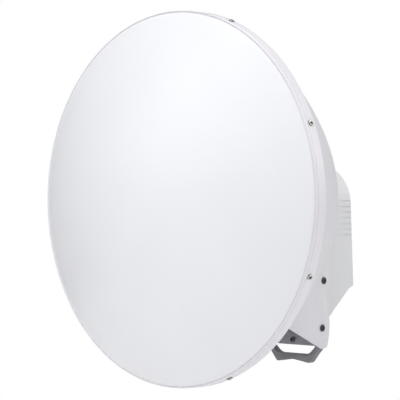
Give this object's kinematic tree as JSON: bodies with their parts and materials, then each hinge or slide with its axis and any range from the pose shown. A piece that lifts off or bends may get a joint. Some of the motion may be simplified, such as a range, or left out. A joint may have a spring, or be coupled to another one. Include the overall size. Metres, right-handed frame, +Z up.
{
  "type": "dish antenna",
  "caption": "Round covered dish antenna with a white domed cover, a radio housing behind it and a tilting cast mast bracket.",
  "frame": {"origin": "centre of the cast bracket's flat rear face, where the mast's clamp or a wall plate holds it", "axes": "+Z up, the dish faces -Y, +X to the right of someone who looks at the dish's front"},
  "size_m": [0.3796, 0.2868, 0.3796],
  "materials": {
    "dome_plastic": "satin white weatherproof plastic",
    "bowl_paint": "pale grey powder coat",
    "screw_steel": "stainless steel",
    "hub_paint": "pale grey powder coat",
    "frame_paint": "pale lilac-grey powder coat",
    "black_bolt": "black oxide",
    "housing_plastic": "pale grey matt plastic",
    "cover_plastic": "pale grey matt plastic",
    "gland_rubber": "black rubber",
    "cast_metal": "dark grey casting"
  },
  "bodies": {
    "bracket": {"mast_bracket": "cast_metal", "face_bolt": "black_bolt"},
    "dish": {"radome": "dome_plastic", "reflector_bowl": "bowl_paint", "rim_screw_1": "screw_steel", "rim_screw_2": "screw_steel", "rim_screw_3": "screw_steel", "rim_screw_4": "screw_steel", "rim_screw_5": "screw_steel", "rim_screw_6": "screw_steel", "rim_screw_7": "screw_steel", "rim_screw_8": "screw_steel", "hub_plate": "hub_paint", "frame_web": "frame_paint", "side_plate_left": "frame_paint", "side_plate_right": "frame_paint", "pivot_bolt_left": "black_bolt", "pivot_bolt_right": "black_bolt", "lock_bolt_left": "black_bolt", "lock_bolt_right": "black_bolt", "radio_housing": "housing_plastic", "housing_cover": "cover_plastic", "cable_gland": "gland_rubber"}
  },
  "joints": [
    {"name": "elevation", "type": "hinge", "parent": "bracket", "child": "dish", "pos_m": [0, -0.0223, 0.0602], "axis": [-1, 0, 0], "range_deg": [-10, 15]}
  ]
}
